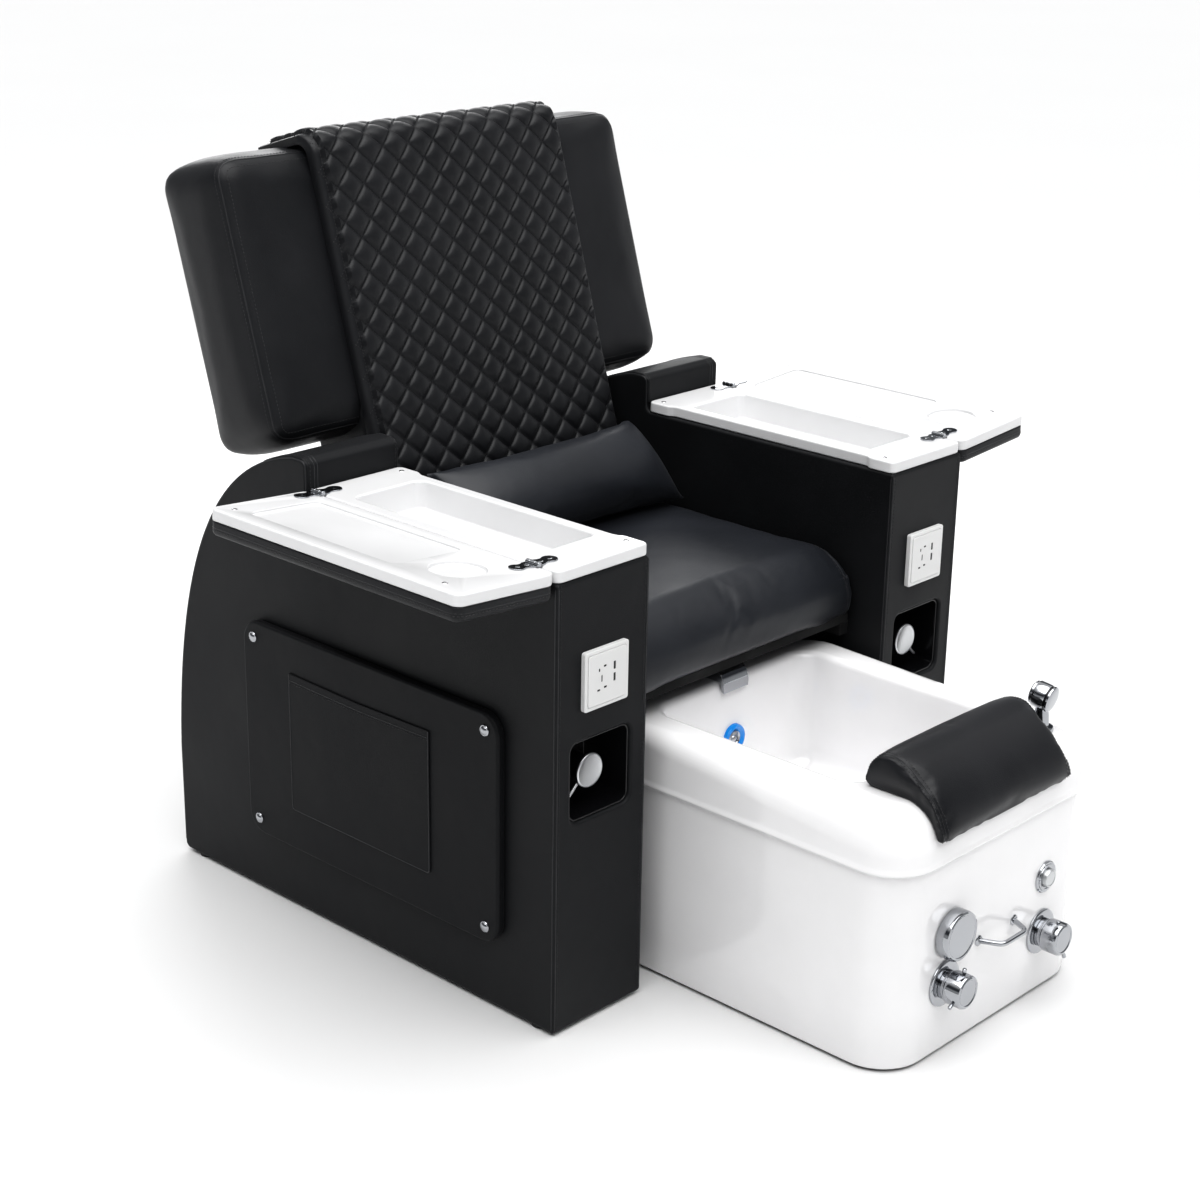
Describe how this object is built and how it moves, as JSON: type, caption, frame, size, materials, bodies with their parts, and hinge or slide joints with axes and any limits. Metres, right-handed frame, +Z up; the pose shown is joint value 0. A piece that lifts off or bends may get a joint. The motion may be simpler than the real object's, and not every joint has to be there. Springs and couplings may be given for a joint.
{
  "type": "pedicure spa chair",
  "caption": "Pedicure spa chair with padded arms, flip-over tray lids, a reclining quilted back and a roll-out foot basin with hand shower.",
  "frame": {"origin": "centre of the bounding box in plan, on the floor", "axes": "+X to the right seen from the front, +Y from the basin to the back, +Z up; the sitter faces -Y"},
  "size_m": [1.2724, 1.3222, 1.1678],
  "materials": {
    "black_leather": "satin",
    "padded_leather": "satin",
    "white_gloss": "gloss",
    "white_plastic": "satin",
    "black_plastic": "matte",
    "black_rubber": "matte",
    "chrome": "polished",
    "black_steel": "satin",
    "plywood": "matte",
    "blue_light": "gloss",
    "grey_motor": "satin"
  },
  "bodies": {
    "chair": {"arm_outer_left": "black_leather", "arm_outer_right": "black_leather", "arm_inner_left": "black_leather", "arm_inner_right": "black_leather", "arm_front_left": "black_leather", "arm_front_right": "black_leather", "arm_rear_left": "black_leather", "arm_rear_right": "black_leather", "arm_block_left": "padded_leather", "arm_block_right": "padded_leather", "tray_left": "white_gloss", "tray_right": "white_gloss", "hinges_fixed": "chrome", "socket_left": "white_plastic", "socket_right": "white_plastic", "niche_left": "black_plastic", "niche_right": "black_plastic", "panel_left": "black_leather", "panel_right": "black_leather", "panel_buttons": "chrome", "glides": "black_plastic", "seat_frame": "black_steel", "seat_deck": "plywood", "seat_cushion": "padded_leather", "rear_beam": "black_steel", "rear_board": "black_leather"},
    "lid_left": {"lid_tray_left": "white_gloss", "lid_pad_left": "padded_leather", "hinge_leaf_left": "chrome"},
    "lid_right": {"lid_tray_right": "white_gloss", "lid_pad_right": "padded_leather", "hinge_leaf_right": "chrome"},
    "lumbar": {"lumbar_pillow": "padded_leather"},
    "back": {"back_frame": "black_steel", "back_shell": "padded_leather", "back_pad": "padded_leather"},
    "gas_cylinder": {"gas_tube": "black_steel"},
    "gas_piston": {"gas_rod": "chrome"},
    "release_left": {"release_knob_left": "chrome"},
    "release_right": {"release_knob_right": "chrome"},
    "basin": {"basin_rim": "white_gloss", "basin_bowl": "white_gloss", "basin_skirt": "white_gloss", "basin_base": "plywood", "spout": "chrome", "ring_jet": "blue_light", "drain": "chrome", "pump": "grey_motor", "handle": "chrome", "shower_holder": "chrome", "control_flanges": "chrome"},
    "drain_plug": {"stopper": "chrome"},
    "drain_turn_knob": {"drain_knob": "chrome"},
    "valve_left": {"valve_knob_left": "chrome"},
    "valve_right": {"valve_knob_right": "chrome"},
    "button": {"push_button": "chrome"},
    "foot_rest": {"foot_pillow": "padded_leather"},
    "hand_shower": {"shower_handset": "chrome"},
    "rollers_front": {"roller_front": "black_rubber"},
    "rollers_rear": {"roller_rear": "black_rubber"}
  },
  "joints": [
    {"name": "basin_slide", "type": "slide", "parent": "chair", "child": "basin", "axis": [0, 1, 0], "range_m": [0, 0.32]},
    {"name": "lid_left_hinge", "type": "hinge", "parent": "chair", "child": "lid_left", "pos_m": [-0.457, 0.04491, 0.6972], "axis": [0, 1, 0], "range_deg": [0, 176]},
    {"name": "lid_right_hinge", "type": "hinge", "parent": "chair", "child": "lid_right", "pos_m": [0.457, 0.04491, 0.6972], "axis": [0, -1, 0], "range_deg": [0, 176]},
    {"name": "lumbar_lift", "type": "slide", "parent": "chair", "child": "lumbar", "axis": [0, 0, 1], "range_m": [0, 0.12]},
    {"name": "back_recline", "type": "hinge", "parent": "chair", "child": "back", "pos_m": [0, 0.35091, 0.425], "axis": [-1, 0, 0], "range_deg": [0, 35]},
    {"name": "gas_swing", "type": "hinge", "parent": "chair", "child": "gas_cylinder", "pos_m": [0, 0.47091, 0.11], "axis": [-1, 0, 0], "range_deg": [-0.5, 4]},
    {"name": "gas_stroke", "type": "slide", "parent": "gas_cylinder", "child": "gas_piston", "axis": [0, -0.0713, 0.9975], "range_m": [-0.075, 0.002]},
    {"name": "release_left_turn", "type": "hinge", "parent": "chair", "child": "release_left", "pos_m": [-0.367, -0.18008, 0.378], "axis": [0, -1, 0], "range_deg": [0, 20], "stiffness_Nm_per_rad": 0.4},
    {"name": "release_right_turn", "type": "hinge", "parent": "chair", "child": "release_right", "pos_m": [0.367, -0.18008, 0.378], "axis": [0, 1, 0], "range_deg": [0, 20], "stiffness_Nm_per_rad": 0.4},
    {"name": "drain_turn", "type": "hinge", "parent": "basin", "child": "drain_turn_knob", "pos_m": [-0.097, -0.62909, 0.188], "axis": [0, -1, 0], "range_deg": [0, 90]},
    {"name": "stopper_lift", "type": "slide", "parent": "basin", "child": "drain_plug", "axis": [0, 0, 1], "range_m": [0, 0.0121]},
    {"name": "valve_left_turn", "type": "hinge", "parent": "basin", "child": "valve_left", "pos_m": [-0.104, -0.63909, 0.112], "axis": [0, -1, 0], "range_deg": [-45, 45]},
    {"name": "valve_right_turn", "type": "hinge", "parent": "basin", "child": "valve_right", "pos_m": [0.137, -0.63909, 0.102], "axis": [0, -1, 0], "range_deg": [-45, 45]},
    {"name": "button_press", "type": "slide", "parent": "basin", "child": "button", "axis": [0, 1, 0], "range_m": [0, 0.004], "stiffness_N_per_m": 600},
    {"name": "foot_rest_lift", "type": "slide", "parent": "basin", "child": "foot_rest", "axis": [0, 0, 1], "range_m": [0, 0.08]},
    {"name": "shower_pull", "type": "slide", "parent": "basin", "child": "hand_shower", "axis": [0, 0, 1], "range_m": [0, 0.2]},
    {"name": "roller_front_roll", "type": "hinge", "parent": "basin", "child": "rollers_front", "pos_m": [0, -0.54909, 0.02], "axis": [-1, 0, 0], "continuous": true},
    {"name": "roller_rear_roll", "type": "hinge", "parent": "basin", "child": "rollers_rear", "pos_m": [0, -0.15909, 0.02], "axis": [-1, 0, 0], "continuous": true}
  ],
  "couplings": [
    {"joint": "gas_swing", "follows": "back_recline", "ratio": 0.0785},
    {"joint": "gas_stroke", "follows": "back_recline", "m_per_rad": -0.10505},
    {"joint": "stopper_lift", "follows": "drain_turn", "m_per_rad": 0.007639},
    {"joint": "roller_front_roll", "follows": "basin_slide", "rad_per_m": 50},
    {"joint": "roller_rear_roll", "follows": "basin_slide", "rad_per_m": 50}
  ]
}
